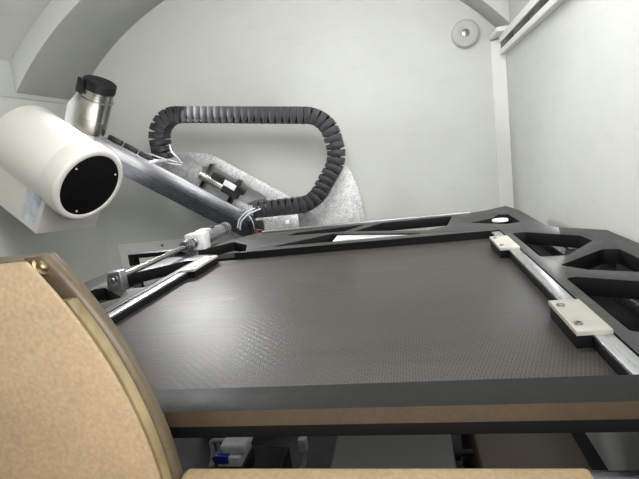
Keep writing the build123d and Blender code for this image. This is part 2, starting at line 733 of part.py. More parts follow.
# Positioning actuator in the fan plate's window
act_y = fan_y - 24
act_a = Vector(swing_x - 147, act_y, swing_z + 180)
act_b = Vector(swing_x - 35, act_y, swing_z + 100)
act = Plane(origin=act_a, x_dir=(0, 1, 0), z_dir=(act_b - act_a).normalized())
act_len = (act_b - act_a).length
actuator = act.location * Pos(0, 0, act_len * 0.3) * Cylinder(15, act_len * 0.6)
actuator += act.location * Pos(0, 0, act_len * 0.8) * Box(26, 24, act_len * 0.4)
before_fan = block(act_a.X - 200, act_b.X + 200, act_y - 100, fan_y, act_b.Z - 200, act_a.Z + 200)
for share in (0.12, 0.85):
    strap = act.location * Pos(12, 0, act_len * share) * Box(24, 88, 12)
    actuator += strap & before_fan
nodes["arm_actuator"] = actuator

# Energy chain: a loop of box links from the arm round to the hub
chain_y0 = in_y - 185
chain_w = 50.0
chain_h = 46.0
chain_pitch = 20.0
chain_mid_y = chain_y0 + chain_w / 2
chain_start = beside(-231, 238)
chain_end = beside(31, 58)
chain_turns = [beside(-234, 371), beside(278, 300), beside(299, 178), beside(211, 58)]
chain_path = FilletPolyline(*[(x, chain_mid_y, z) for x, z in [chain_start, *chain_turns, chain_end]],
                            radius=[66, 78, 90, 86])
chain_len = chain_path.length
link_count = int(chain_len // chain_pitch)
link_gap = 0.4
link_wall = 5.0


def chain_link():
    """One box link, narrow on the inner side of the loop, with the cable passage along its length."""
    hx = chain_pitch / 2 - link_gap / 2
    inner = hx * 0.62
    hz = chain_h / 2
    outer = hx * 0.98
    body = plate_xz([(-hx, 0), (-inner, -hz), (inner, -hz), (hx, 0), (outer, hz), (-outer, hz)],
                    -chain_w / 2, chain_w / 2)
    body -= Box(chain_pitch * 2, chain_w - 2 * link_wall, chain_h - 2 * link_wall)
    for y in (-chain_w / 2, chain_w / 2):
        body += Pos(0, y, 0) * Box(hx, 3, chain_h * 0.5) & Box(chain_pitch, chain_w + 2, chain_h)
    return body


link = chain_link()
links = []
for i in range(link_count):
    share = (i + 0.5) / link_count
    p = chain_path.position_at(share)
    t = chain_path.tangent_at(share)
    links.append(Pos(p.X, p.Y, p.Z) * Rot(0, -math.degrees(math.atan2(t.Z, t.X)), 0) * link)
nodes["energy_chain"] = group(links)


def sweep_tube(path, r):
    """Round tube along a path."""
    return sweep(Plane(origin=path.position_at(0), z_dir=path.tangent_at(0)) * Circle(r), path=path)


bundle_r = 13.0
lead_r = 6.0
nodes["chain_cables"] = sweep_tube(chain_path, bundle_r)

# Brackets that hold the two ends of the chain
shelf_t = 6.0
shelf_z = chain_end[1] - chain_h / 2 - link_gap
shelf_x1 = swing_x + 166
shelf_lip = 5.0
shelf_y0 = chain_y0 - shelf_lip - 1
shelf_low = shelf_z - 38
shelf = block(swing_x + 39, shelf_x1, shelf_y0, fan_y, shelf_z - shelf_t, shelf_z)
shelf += block(swing_x + 62, shelf_x1, shelf_y0, shelf_y0 + shelf_lip, shelf_low, shelf_z)
shelf = largest(shelf - arm_envelope())
shelf_screw = disc_y(shelf_x1 - 33, shelf_z - 20, 6, shelf_y0 - 4, shelf_y0)
nodes["arm_screws"] = group(pins + [shelf_screw])
seat_x0 = chain_start[0] - 32
seat_x1 = chain_start[0] + 30
seat_z = chain_start[1] - link_gap
seat_t = 8.0
seat = block(seat_x0, seat_x1, chain_y0 - 65, chain_y0 + chain_w, seat_z - seat_t, seat_z)
seat += block(seat_x0, seat_x0 + 10, chain_y0 - 25, chain_y0 + chain_w, seat_z - 80, seat_z)
seat = largest(seat - arm_envelope(plug_h))
nodes["chain_brackets"] = group([shelf, seat])

# Tube below the stage on its lifting column
tube_top = carriage_z0 - 8
tube_r = 55.0
tube_h = 240.0
tube_z0 = tube_top - tube_h
tube_body = bar_z(swing_x, beam_y, tube_z0, tube_top - 30, tube_r)
tube_body += Pos(swing_x, beam_y, tube_top - 15) * Cone(tube_r, 30, 30)
column_y = beam_y + tube_r + 34
lift_rail = block(swing_x - 12, swing_x + 12, column_y - 14, column_y,
                  chamber_floor_z + 20, tube_top - 20)
column_box = block(swing_x - 50, swing_x + 50, column_y, column_y + 24, chamber_floor_z, tube_top - 14)
nodes["lift_column"] = group([column_box, lift_rail])
slide_z0 = tube_z0 + 60
slide_z1 = tube_z0 + 160
slide = block(swing_x - 40, swing_x + 40, beam_y, column_y - 5, slide_z0, slide_z1)
slide -= bar_z(swing_x, beam_y, slide_z0 - 1, slide_z1 + 1, tube_r + 0.05)
slide -= block(swing_x - 12 - slide_fit, swing_x + 12 + slide_fit, column_y - 14 - slide_fit, column_y + 1,
               slide_z0 - 1, slide_z1 + 1)
nodes["ray_tube"] = group([tube_body, slide.solids().sort_by(SortBy.VOLUME)[-1]])

# Supply units, their terminal box with a plug, leads and a connector on the chamber floor
unit_h = 240.0
unit_w = 147.0
unit_gap = 28.0
second_w = 114.0
terminal_w = 100.0
unit_z1 = chamber_floor_z + unit_h
unit_y0 = -340.0
unit_y1 = 60.0
unit_x0 = tray_x + 1
unit_x1 = unit_x0 + unit_w
terminal_x1 = unit_x0 - 75
terminal_x0 = terminal_x1 - terminal_w
terminal_z1 = unit_z1 - 30
terminal_y0 = unit_y0 + 40
terminal_y1 = terminal_y0 + 120
units = [block(unit_x0, unit_x1, unit_y0, unit_y1, chamber_floor_z, unit_z1)]
second_x0 = unit_x1 + unit_gap
units.append(block(second_x0, second_x0 + second_w, unit_y0, unit_y1, chamber_floor_z, unit_z1))
terminal = block(terminal_x0, terminal_x1, terminal_y0, terminal_y1, chamber_floor_z, terminal_z1)
terminal += block(terminal_x0 + 10, terminal_x0 + 62, terminal_y0 + 36, terminal_y0 + 84,
                  terminal_z1, terminal_z1 + 22)
units.append(terminal)
nodes["supply_units"] = group(units)
knob_y = unit_y0 + 112
knob_z = unit_z1 - 12
knob = bar_x(knob_y, knob_z, unit_x1, unit_x1 + 8, 9)
leads = [knob + bar_x(knob_y, knob_z, unit_x1 + 8, unit_x1 + 24, 4)]
for i in range(4):
    ly = terminal_y0 + 14 + i * 30
    lz = unit_z1 - 60 - i * 16
    lead_path = FilletPolyline((terminal_x1, ly, lz), (terminal_x1 + 26, ly, lz),
                               (terminal_x1 + 44, ly - 8, lz + 18), (unit_x0 - 16, ly - 8, lz + 30),
                               (unit_x0, ly - 8, lz + 30), radius=2 * lead_r)
    leads.append(sweep_tube(lead_path, lead_r))
nodes["supply_leads"] = group(leads)

# Sliding door on the front
door_y1 = front_y - 2
door_y0 = door_y1 - door_t
door_x0 = load_x0 - door_travel - door_overlap
door_x1 = load_x1 - door_travel + door_overlap
door_z0 = load_z0 - door_overlap
door_z1 = load_z1 + door_overlap
door = block(door_x0, door_x1, door_y0, door_y1, door_z0, door_z1)
win_x = (door_x0 + door_x1) / 2
win_z = (door_z0 + door_z1) / 2
hw = window_size / 2
door -= block(win_x - hw, win_x + hw, door_y0 - 1, door_y1 + 1, win_z - hw, win_z + hw)
nodes["door_window"] = block(win_x - hw + 0.2, win_x + hw - 0.2, door_y0 + 2, door_y0 + 2 + window_t,
                             win_z - hw + 0.2, win_z + hw - 0.2)
guide_h = 16.0
guide_lip = 8.0
guides = []
for z in (door_z0 - guide_h, door_z1 - guide_lip):
    guide = block(-half_w + 2, half_w - 2, front_y - skin_t, front_y, z, z + guide_h + guide_lip)
    guide -= block(-half_w, half_w, door_y0 - slide_fit, door_y1 + slide_fit,
                   door_z0 - slide_fit, door_z1 + slide_fit)
    guides.append(guide)
grip_x = door_x1 - 40
grip = block(grip_x - 6, grip_x + 6, door_y0 - 5, door_y0, win_z - 70, win_z + 70)
nodes["loading_door"] = door + grip

# Bay doors with hinge pins and latches
hinge_y = front_y - 12
bay_t = 14.0
bay_y1 = front_y - 3
bay_y0 = bay_y1 - bay_t
for name, s in (("left", -1), ("right", 1)):
    hx = s * (bay_x1 + bay_lip + hinge_r + 4)
    x_in = s * (bay_x0 - bay_lip)
    leaf = block(x_in, hx - s * (hinge_r + 4), bay_y0, bay_y1, bay_z0 - bay_lip, bay_z1 + bay_lip)
    seg = (bay_z1 - bay_z0) / 3
    for z in (bay_z0, bay_z1 - seg):
        leaf += bar_z(hx, hinge_y, z, z + seg, hinge_r)
        leaf += block(hx - s * (hinge_r + 5), hx, hinge_y - 3, hinge_y + 3, z, z + seg)
        leaf -= bar_z(hx, hinge_y, z - 1, z + seg + 1, 3 + run_fit)
    leaf += bar_y(s * (bay_x0 + 30), (bay_z0 + bay_z1) / 2, bay_y0 - 5, bay_y0, 16)
    nodes["bay_door_" + name] = leaf
    z_lo = bay_z0 + seg + 0.3
    z_hi = bay_z1 - seg - 0.3
    knuckle = bar_z(hx, hinge_y, z_lo, z_hi, hinge_r)
    knuckle += block(hx - s * 3, hx + s * 20, hinge_y + 2, front_y, z_lo, z_hi)
    pin = bar_z(hx, hinge_y, bay_z0 - 4, bay_z1 + 4, 3)
    guides.append(knuckle + pin)
nodes["front_guides"] = group(guides)

# Operating panel over the door
panel_x = -60.0
panel_z = load_z1 + 160
panel_y0 = front_y - 8
stop_x = panel_x + 80
panel = block(panel_x - 130, panel_x + 130, panel_y0, front_y, panel_z - 50, panel_z + 50)
nodes["control_panel"] = panel - disc_y(stop_x, panel_z, 8 + run_fit, panel_y0 - 1, front_y + 1)
stop_stem = disc_y(stop_x, panel_z, 8, panel_y0 - 8, panel_y0 + 2)
nodes["stop_button"] = stop_stem + disc_y(stop_x, panel_z, 20, panel_y0 - 17, panel_y0 - 8)
key = disc_y(panel_x, panel_z, 11, panel_y0 - 6, panel_y0)
key += block(panel_x - 2, panel_x + 2, panel_y0 - 16, panel_y0 - 6, panel_z - 9, panel_z + 9)
nodes["key_switch"] = key
nodes["lamps"] = group(lamp_bars + [disc_y(panel_x - 80, panel_z, 14, panel_y0 - 10, panel_y0)])

# Mains inlet in the back of the equipment bay, with three blades in a recess
inlet_x = -in_x + 30
inlet_z = base_top + 45
inlet = block(inlet_x - 25, inlet_x + 25, rear_y, rear_y + 16, inlet_z - 16, inlet_z + 16)
inlet -= block(inlet_x - 13, inlet_x + 13, rear_y + 2, rear_y + 17, inlet_z - 8, inlet_z + 8)
for dx, dz in ((-7, -2), (0, 3), (7, -2)):
    blade_x = inlet_x + dx
    blade_z = inlet_z + dz
    inlet += block(blade_x - 1, blade_x + 1, rear_y + 2, rear_y + 13, blade_z - 2, blade_z + 2)
nodes["mains_inlet"] = inlet

for name, shape in nodes.items():
    export_step(shape, "parts/" + name + ".step")
print(len(nodes), "nodes")
print("chain length", round(chain_len, 1), "links", link_count)
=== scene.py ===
"""X-ray inspection machine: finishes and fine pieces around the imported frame."""

import json
import math

import bpy
from bpy.props import FloatProperty, FloatVectorProperty, PointerProperty
from mathutils import Matrix, Vector

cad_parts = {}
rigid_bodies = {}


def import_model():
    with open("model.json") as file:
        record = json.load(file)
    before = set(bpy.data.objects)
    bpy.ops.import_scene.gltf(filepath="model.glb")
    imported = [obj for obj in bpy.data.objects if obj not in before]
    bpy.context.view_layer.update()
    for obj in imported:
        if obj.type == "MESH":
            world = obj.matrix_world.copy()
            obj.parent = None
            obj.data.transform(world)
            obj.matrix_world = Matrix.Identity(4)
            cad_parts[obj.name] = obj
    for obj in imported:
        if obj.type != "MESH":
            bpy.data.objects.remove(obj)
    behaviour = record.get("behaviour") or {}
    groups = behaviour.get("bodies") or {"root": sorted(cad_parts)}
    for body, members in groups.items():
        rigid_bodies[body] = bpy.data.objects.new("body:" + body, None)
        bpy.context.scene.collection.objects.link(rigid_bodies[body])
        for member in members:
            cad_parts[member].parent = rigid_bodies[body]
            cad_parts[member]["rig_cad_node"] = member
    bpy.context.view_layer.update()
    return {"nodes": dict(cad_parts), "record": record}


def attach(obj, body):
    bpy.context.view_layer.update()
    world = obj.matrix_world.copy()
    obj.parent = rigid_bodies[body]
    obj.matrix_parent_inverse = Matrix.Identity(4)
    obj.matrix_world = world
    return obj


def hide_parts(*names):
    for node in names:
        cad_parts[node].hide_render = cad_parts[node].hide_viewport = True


bl_info = {
    "name": "X-ray Inspection Machine",
    "version": (1, 0, 0),
    "blender": (4, 5, 0),
    "location": "3D View > Sidebar > Inspection",
    "description": "Finishes and fine pieces of an x-ray inspection machine",
    "category": "Add Mesh",
}

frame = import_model()
nodes = frame["nodes"]
behaviour = frame["record"]["behaviour"]
body_of = {node: body for body, members in behaviour["bodies"].items() for node in members}
joint_spot = {joint["name"]: Vector(joint["pos_m"]) for joint in behaviour["joints"]
              if "pos_m" in joint}
finishes = {}

# Metres and radians: what rounding and smoothing take for an edge
solid_crease = math.radians(33.0)
piece_crease = math.radians(40.0)
flat_within = math.radians(0.6)
weld = 0.00002
fine_weld = 0.000005
fine_edge = 0.0006


# Places that new pieces are measured from: X to the side, Y up and Z ahead
def placed(origin, ahead):
    ahead = Vector(ahead).normalized()
    side = Vector((0, 0, 1)).cross(ahead).normalized()
    turn = Matrix((side, ahead.cross(side), ahead)).transposed().to_4x4()
    return Matrix.Translation(origin) @ turn


along_y = Matrix.Rotation(math.radians(-90), 4, "X")
swing_axis = joint_spot["arm_swing"]
arm_line = Vector((-0.390, -0.158, 0.308))
arm_place = placed(swing_axis + Vector((0, -0.050, 0)), arm_line)
detector_line = Vector((0.798, -0.245, -0.551))
detector_place = placed(swing_axis + Vector((-0.274, -0.399, 0.187)), detector_line)
box_place = detector_place @ Matrix.Rotation(math.radians(-6), 4, "Z")
camera_place = detector_place @ Matrix.Translation((0.145, 0, -0.205)) @ along_y
bolt_place = detector_place @ Matrix.Translation((0.134, 0, -0.2525)) @ along_y
actuator_line = Vector((0.112, 0, -0.080))
actuator_place = placed(swing_axis + Vector((-0.147, -0.028, 0.180)), actuator_line)
screw_axis = joint_spot["screw_turn"]
drive_place = Matrix.Translation((screw_axis.x, 0, screw_axis.z)) @ along_y

# Thickness and path of each lead at the arm: three at the hub, three at the connectors
arm_leads = (
    (0.0055, ((-0.112, 0.580, 0.978), (-0.108, 0.574, 1.000), (-0.078, 0.570, 1.022),
              (-0.057, 0.576, 1.030), (-0.028, 0.596, 1.037))),
    (0.0050, ((-0.120, 0.584, 0.984), (-0.114, 0.580, 1.006), (-0.086, 0.577, 1.029),
              (-0.060, 0.584, 1.037), (-0.028, 0.602, 1.043))),
    (0.0045, ((-0.080, 0.572, 1.024), (-0.069, 0.570, 1.010), (-0.066, 0.574, 0.984),
              (-0.072, 0.590, 0.972))),
    (0.0045, ((-0.368, 0.562, 1.236), (-0.337, 0.560, 1.226), (-0.309, 0.566, 1.210),
              (-0.282, 0.580, 1.199), (-0.262, 0.592, 1.192))),
    (0.0045, ((-0.369, 0.560, 1.230), (-0.344, 0.558, 1.216), (-0.309, 0.562, 1.202),
              (-0.284, 0.576, 1.192), (-0.266, 0.592, 1.186))),
    (0.0060, ((-0.293, 0.590, 1.250), (-0.285, 0.576, 1.228), (-0.271, 0.572, 1.214),
              (-0.266, 0.584, 1.198))),
)


def linear(colour):
    """Display colour to the linear values that the shader takes."""
    return [c / 12.92 if c <= 0.04045 else ((c + 0.055) / 1.055) ** 2.4 for c in colour]


def shade(colour, factor):
    return [min(1.0, c * factor) for c in colour]


# Shader building blocks
def start_finish(name, colour, rough, metal=0.0):
    mat = bpy.data.materials.new(name)
    mat.use_nodes = True
    tree = mat.node_tree
    shader = tree.nodes["Principled BSDF"]
    shader.inputs["Base Color"].default_value = (*linear(colour), 1)
    shader.inputs["Roughness"].default_value = rough
    shader.inputs["Metallic"].default_value = metal
    coords = tree.nodes.new("ShaderNodeTexCoord")
    finishes[name] = mat
    return tree, shader, coords.outputs["Object"]


def stretched(tree, vector, scale, turn=(0, 0, 0)):
    node = tree.nodes.new("ShaderNodeMapping")
    node.inputs["Scale"].default_value = scale
    node.inputs["Rotation"].default_value = turn
    tree.links.new(vector, node.inputs["Vector"])
    return node.outputs["Vector"]


def noise(tree, vector, scale, detail=3.0, roughness=0.5):
    node = tree.nodes.new("ShaderNodeTexNoise")
    node.inputs["Scale"].default_value = scale
    node.inputs["Detail"].default_value = detail
    node.inputs["Roughness"].default_value = roughness
    tree.links.new(vector, node.inputs["Vector"])
    return node.outputs["Fac"]


def cells(tree, vector, scale):
    node = tree.nodes.new("ShaderNodeTexVoronoi")
    node.inputs["Scale"].default_value = scale
    tree.links.new(vector, node.inputs["Vector"])
    return node.outputs["Distance"]


def bands(tree, vector, scale, direction):
    node = tree.nodes.new("ShaderNodeTexWave")
    node.bands_direction = direction
    node.inputs["Scale"].default_value = scale
    tree.links.new(vector, node.inputs["Vector"])
    return node.outputs["Fac"]


def ramp(tree, value, low, high, start=0.0, end=1.0):
    """Blend of two values or colours over part of an input's range."""
    node = tree.nodes.new("ShaderNodeValToRGB")
    ends = node.color_ramp.elements
    for stop, position, level in zip(ends, (start, end), (low, high)):
        stop.position = position
        grey = not isinstance(level, (list, tuple))
        stop.color = (level, level, level, 1) if grey else (*linear(level), 1)
    tree.links.new(value, node.inputs["Fac"])
    return node.outputs["Color"]


def combine(tree, operation, first, second):
    node = tree.nodes.new("ShaderNodeMath")
    node.operation = operation
    for socket, value in zip(node.inputs, (first, second)):
        if isinstance(value, (int, float)):
            socket.default_value = value
        else:
            tree.links.new(value, socket)
    return node.outputs["Value"]


def weighed(tree, first, first_share, second, second_share):
    """Sum of two values, each times its share."""
    return combine(tree, "ADD", combine(tree, "MULTIPLY", first, first_share),
                   combine(tree, "MULTIPLY", second, second_share))


def blend_colour(tree, factor, first, second):
    node = tree.nodes.new("ShaderNodeMix")
    node.data_type = "RGBA"
    tree.links.new(factor, node.inputs["Factor"])
    for socket, value in ((node.inputs[6], first), (node.inputs[7], second)):
        if isinstance(value, (list, tuple)):
            socket.default_value = (*linear(value), 1)
        else:
            tree.links.new(value, socket)
    return node.outputs[2]


def colour_by(tree, shader, colour):
    tree.links.new(colour, shader.inputs["Base Color"])


def roughen(tree, shader, value, low, high, start=0.3, end=0.7):
    tree.links.new(ramp(tree, value, low, high, start, end), shader.inputs["Roughness"])


def relief(tree, shader, height, strength, depth):
    node = tree.nodes.new("ShaderNodeBump")
    node.inputs["Strength"].default_value = strength
    node.inputs["Distance"].default_value = depth
    tree.links.new(height, node.inputs["Height"])
    tree.links.new(node.outputs["Normal"], shader.inputs["Normal"])


# Finishes of the machine
def paint(name, colour, rough=0.42, grain=620.0, depth=0.0003, wear=0.05):
    """Powder coat: fine orange peel, slow colour drift and faint handling marks."""
    tree, shader, place = start_finish(name, colour, rough)
    drift = noise(tree, place, 3.2, 4.0, 0.6)
    marks = noise(tree, stretched(tree, place, (1, 1, 3.5)), 14.0, 6.0, 0.65)
    base = ramp(tree, drift, shade(colour, 1 - wear), shade(colour, 1 + wear * 0.5), 0.3, 0.7)
    handled = combine(tree, "MULTIPLY", ramp(tree, marks, 0.0, 1.0, 0.56, 0.78), 0.16)
    colour_by(tree, shader, blend_colour(tree, handled, base, shade(colour, 0.82)))
    roughen(tree, shader, marks, rough - 0.06, rough + 0.1)
    relief(tree, shader, noise(tree, place, grain, 2.0), 0.22, depth)


def brushed(name, colour, rough=0.3, along=(1, 1, 60), depth=0.0002, metal=0.9, turn=(0, 0, 0)):
    """Machined or drawn metal with fine lines along one direction."""
    tree, shader, place = start_finish(name, colour, rough, metal)
    place = stretched(tree, place, (1, 1, 1), turn)
    lines = noise(tree, stretched(tree, place, along), 9.0, 5.0, 0.7)
    patches = noise(tree, place, 12.0, 4.0, 0.6)
    tone = weighed(tree, lines, 0.6, patches, 0.4)
    colour_by(tree, shader, ramp(tree, tone, shade(colour, 0.82), shade(colour, 1.1), 0.3, 0.7))
    roughen(tree, shader, lines, rough - 0.08, rough + 0.14, 0.25, 0.75)
    relief(tree, shader, lines, 0.18, depth)


def speckled(name, colour):
    """Grained cast aluminium with light and dark flecks."""
    tree, shader, place = start_finish(name, colour, 0.5, 0.55)
    fleck = cells(tree, place, 420.0)
    cloud = noise(tree, place, 70.0, 6.0, 0.7)
    tone = weighed(tree, fleck, 0.5, cloud, 0.6)
    colour_by(tree, shader, ramp(tree, tone, shade(colour, 0.72), shade(colour, 1.22), 0.3, 0.75))
    relief(tree, shader, fleck, 0.25, 0.0004)


def dark_anodised(name, colour, rough=0.46):
    """Dark plate with a fine grain and rubbed, paler patches."""
    tree, shader, place = start_finish(name, colour, rough)
    grain = noise(tree, place, 380.0, 4.0, 0.7)
    rub = noise(tree, place, 7.0, 7.0, 0.7)
    base = ramp(tree, grain, shade(colour, 0.78), shade(colour, 1.28), 0.3, 0.7)
    worn = combine(tree, "MULTIPLY", ramp(tree, rub, 0.0, 1.0, 0.5, 0.75), 0.3)
    colour_by(tree, shader, blend_colour(tree, worn, base, shade(colour, 1.7)))
    roughen(tree, shader, rub, rough - 0.1, rough + 0.14)
    relief(tree, shader, grain, 0.2, 0.0003)


def woven(name, dark, light, pitch):
    """Twill laminate: tows crossing under a resin skin, with pale threads running across."""
    tree, shader, place = start_finish(name, dark, 0.36)
    band_at_one = 0.314
    scale = band_at_one / pitch
    warp = bands(tree, place, scale, "X")
    weft = bands(tree, place, scale, "Y")
    twill = bands(tree, place, scale * 0.5, "DIAGONAL")
    over = ramp(tree, twill, 0.0, 1.0, 0.42, 0.58)
    under = combine(tree, "SUBTRACT", 1.0, over)
    height = combine(tree, "ADD", combine(tree, "MULTIPLY", warp, over),
                     combine(tree, "MULTIPLY", weft, under))
    cloud = noise(tree, place, 5.0, 5.0, 0.6)
    thread = noise(tree, stretched(tree, place, (5, 210, 1)), 1.6, 4.0, 0.7)
    tone = combine(tree, "ADD", combine(tree, "MULTIPLY", height, 0.36),
                   weighed(tree, cloud, 0.16, thread, 0.48))
    colour_by(tree, shader, ramp(tree, tone, dark, light, 0.3, 0.72))
    roughen(tree, shader, thread, 0.34, 0.52)
    relief(tree, shader, weighed(tree, height, 1.0, thread, 1.2), 0.3, 0.0005)


def moulded(name, colour, rough=0.5):
    """Moulded plastic or rubber with a fine spark texture."""
    tree, shader, place = start_finish(name, colour, rough)
    fine = noise(tree, place, 500.0, 3.0, 0.6)
    slow = noise(tree, place, 18.0, 4.0, 0.6)
    colour_by(tree, shader, ramp(tree, slow, shade(colour, 0.8), shade(colour, 1.25), 0.3, 0.7))
    roughen(tree, shader, slow, rough - 0.08, rough + 0.1)
    relief(tree, shader, fine, 0.3, 0.0003)


def spotted(name, colour, spot, rough=0.5):
    """Mottled tan coat with a gritty grain and a few pale drops."""
    tree, shader, place = start_finish(name, colour, rough)
    grit = noise(tree, place, 330.0, 3.0, 0.6)
    cloud = noise(tree, place, 26.0, 5.0, 0.65)
    tone = weighed(tree, grit, 0.6, cloud, 0.4)
    base = ramp(tree, tone, shade(colour, 0.90), shade(colour, 1.08), 0.32, 0.68)
    dots = ramp(tree, cells(tree, place, 30.0), 1.0, 0.0, 0.06, 0.11)
    patchy = ramp(tree, noise(tree, place, 9.0, 2.0), 0.0, 1.0, 0.54, 0.6)
    mask = combine(tree, "MULTIPLY", combine(tree, "MULTIPLY", dots, patchy), 0.75)
    colour_by(tree, shader, blend_colour(tree, mask, base, spot))
    relief(tree, shader, grit, 0.3, 0.0004)


def glazed(name, colour, rough, clear=0.0):
    """Glass: dark coated or tinted clear."""
    tree, shader, place = start_finish(name, colour, rough)
    shader.inputs["Coat Weight"].default_value = 1.0
    shader.inputs["Coat Roughness"].default_value = 0.03
    shader.inputs["Transmission Weight"].default_value = clear
    haze = noise(tree, place, 30.0, 4.0, 0.6)
    roughen(tree, shader, haze, rough, rough + 0.08, 0.4, 0.8)


def make_finishes(look):
    arm_turn = (0, math.atan2(arm_line.z, arm_line.x),
                -math.atan2(arm_line.y, math.hypot(arm_line.x, arm_line.z)))
    paint("wall paint", look.wall_colour, 0.5, wear=0.03)
    paint("vault paint", shade(look.wall_colour, 0.97), 0.5, wear=0.03)
    paint("boss paint", shade(look.wall_colour, 0.90), 0.5)
    # Darker copy of the wall paint for the rib's downward faces: painted shade on the soffit
    paint("soffit painted shade", shade(look.wall_colour, 0.80), 0.5, wear=0.05)
    paint("trim paint", (0.93, 0.93, 0.91), 0.4, wear=0.02)
    paint("door paint", look.door_colour, 0.4, wear=0.04)
    paint("base paint", (0.20, 0.21, 0.23), 0.45, wear=0.12)
    # Near-black floor paint: painted shade for the dark under the stage
    paint("floor painted shade", (0.10, 0.10, 0.10), 0.6, wear=0.1)
    paint("umber paint", (0.36, 0.32, 0.26), 0.5, wear=0.1)
    paint("cream paint", look.detector_colour, 0.42, 900.0, 0.0002, wear=0.015)
    paint("unit paint", (0.42, 0.43, 0.40), 0.5)
    paint("unit brown", (0.38, 0.35, 0.29), 0.5)
    spotted("tan paint", look.sill_colour, (0.87, 0.79, 0.66))
    # Bronze tone for the upper band of the front bar's face: painted reflection
    spotted("painted bronze reflection", (0.28, 0.235, 0.18), (0.55, 0.47, 0.38), 0.42)
    brushed("bright aluminium", (0.76, 0.77, 0.78), 0.3, (70, 6, 70), 0.00005)
    brushed("pale casting", (0.74, 0.73, 0.69), 0.45, (1, 1, 1), 0.0004, metal=0.3)
    brushed("channel aluminium", (0.62, 0.63, 0.65), 0.27, (5, 170, 170), 0.00005, turn=arm_turn)
    brushed("channel shade", (0.50, 0.52, 0.56), 0.25, (5, 170, 170), 0.00005, turn=arm_turn)
    brushed("steel", (0.62, 0.63, 0.65), 0.26, (30, 30, 3))
    brushed("polished steel", (0.70, 0.70, 0.68), 0.2, (220, 220, 220), 0.00002)
    brushed("ground rail", (0.50, 0.51, 0.53), 0.25, (4, 60, 60))
    brushed("bronze plate", (0.42, 0.37, 0.30), 0.42, (3, 40, 40), metal=0.2)
    brushed("brass", (0.64, 0.57, 0.45), 0.35, (20, 20, 20))
    brushed("copper", (0.60, 0.40, 0.33), 0.45, (20, 20, 20))
    speckled("speckled plate", (0.85, 0.85, 0.84))
    dark_anodised("dark frame", look.frame_colour)
    # Near-black copy of the frame's anodising: painted shade on the deck's vertical faces and the
    # rail faces, and also the finish of the carriage, side rails, yoke and clamp blocks
    dark_anodised("black anodised and painted shade", (0.045, 0.045, 0.048), 0.6)
    # Darker copy of the frame colour for the front bar's top: painted shade
    dark_anodised("bar top painted shade", (0.11, 0.112, 0.108), 0.62)
    woven("tray weave", (0.115, 0.11, 0.10), (0.31, 0.295, 0.275), 0.0024)
    moulded("seal plastic", (0.58, 0.52, 0.385), 0.38)
    moulded("black plastic", (0.055, 0.055, 0.06), 0.42)
    moulded("window black", (0.03, 0.03, 0.042), 0.75)
    moulded("chain plastic", (0.17, 0.17, 0.185), 0.5)
    moulded("black rubber", (0.05, 0.05, 0.055), 0.62)
    moulded("white plastic", (0.84, 0.84, 0.82), 0.36)
    moulded("lamp segment", (0.10, 0.10, 0.10), 0.35)
    moulded("stop red", (0.72, 0.04, 0.04), 0.28)
    moulded("clear sleeve", (0.70, 0.71, 0.73), 0.25)
    moulded("grey lead", (0.62, 0.63, 0.64), 0.45)
    moulded("blue sleeve", (0.10, 0.22, 0.55), 0.4)
    moulded("label field", (0.82, 0.87, 1.0), 0.5)
    glazed("lead glass", (0.52, 0.56, 0.48), 0.04, clear=0.75)
    for name in ("window black", "bar top painted shade", "black anodised and painted shade"):
        shader = finishes[name].node_tree.nodes["Principled BSDF"]
        shader.inputs["Specular IOR Level"].default_value = 0.2


# Mesh building blocks
def clear_selection():
    if bpy.context.object and bpy.context.object.mode != "OBJECT":
        bpy.ops.object.mode_set(mode="OBJECT")
    bpy.ops.object.select_all(action="DESELECT")


def pick(piece):
    clear_selection()
    piece.select_set(True)
    bpy.context.view_layer.objects.active = piece


def round_edges(piece, **settings):
    pick(piece)
    bpy.ops.object.modifier_add(type="BEVEL")
    modifier = piece.modifiers[-1]
    modifier.limit_method = "ANGLE"
    for key, value in settings.items():
        setattr(modifier, key, value)
    bpy.ops.object.modifier_apply(modifier=modifier.name)


def settle(piece):
    """Writes the piece's place into its mesh."""
    pick(piece)
    bpy.ops.object.transform_apply(location=True, rotation=True, scale=True)


def dress(piece, finish):
    piece.data.materials.clear()
    piece.data.materials.append(finishes[finish])


def soften(node, finish, width):
    """Stands a copy with rounded edges in for a solid of the frame."""
    pick(nodes[node])
    bpy.ops.object.duplicate()
    piece = bpy.context.object
    piece.name = node + "_finished"
    del piece["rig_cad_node"]
    bpy.ops.object.mode_set(mode="EDIT")
    bpy.ops.mesh.select_all(action="SELECT")
    bpy.ops.mesh.remove_doubles(threshold=weld)
    bpy.ops.mesh.dissolve_limited(angle_limit=flat_within)
    bpy.ops.object.mode_set(mode="OBJECT")
    if width:
        round_edges(piece, width=width, segments=2, angle_limit=solid_crease,
                    use_clamp_overlap=True, harden_normals=False)
    pick(piece)
    bpy.ops.object.shade_smooth_by_angle(angle=solid_crease)
    dress(piece, finish)
    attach(piece, body_of[node])
    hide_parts(node)
    return piece


def finish_piece(piece, name, finish, body, edge=0.0, smooth=35.0):
    settle(piece)
    if edge:
        round_edges(piece, width=edge, segments=3, angle_limit=piece_crease)
    pick(piece)
    bpy.ops.object.shade_smooth_by_angle(angle=math.radians(smooth))
    piece.name = name
    dress(piece, finish)
    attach(piece, body)
    return piece


def tint(piece, finish, chosen):
    """Second finish on the faces that the test picks by centre and direction."""
    piece.data.materials.append(finishes[finish])
    index = len(piece.data.materials) - 1
    for face in piece.data.polygons:
        if chosen(face.center, face.normal):
            face.material_index = index


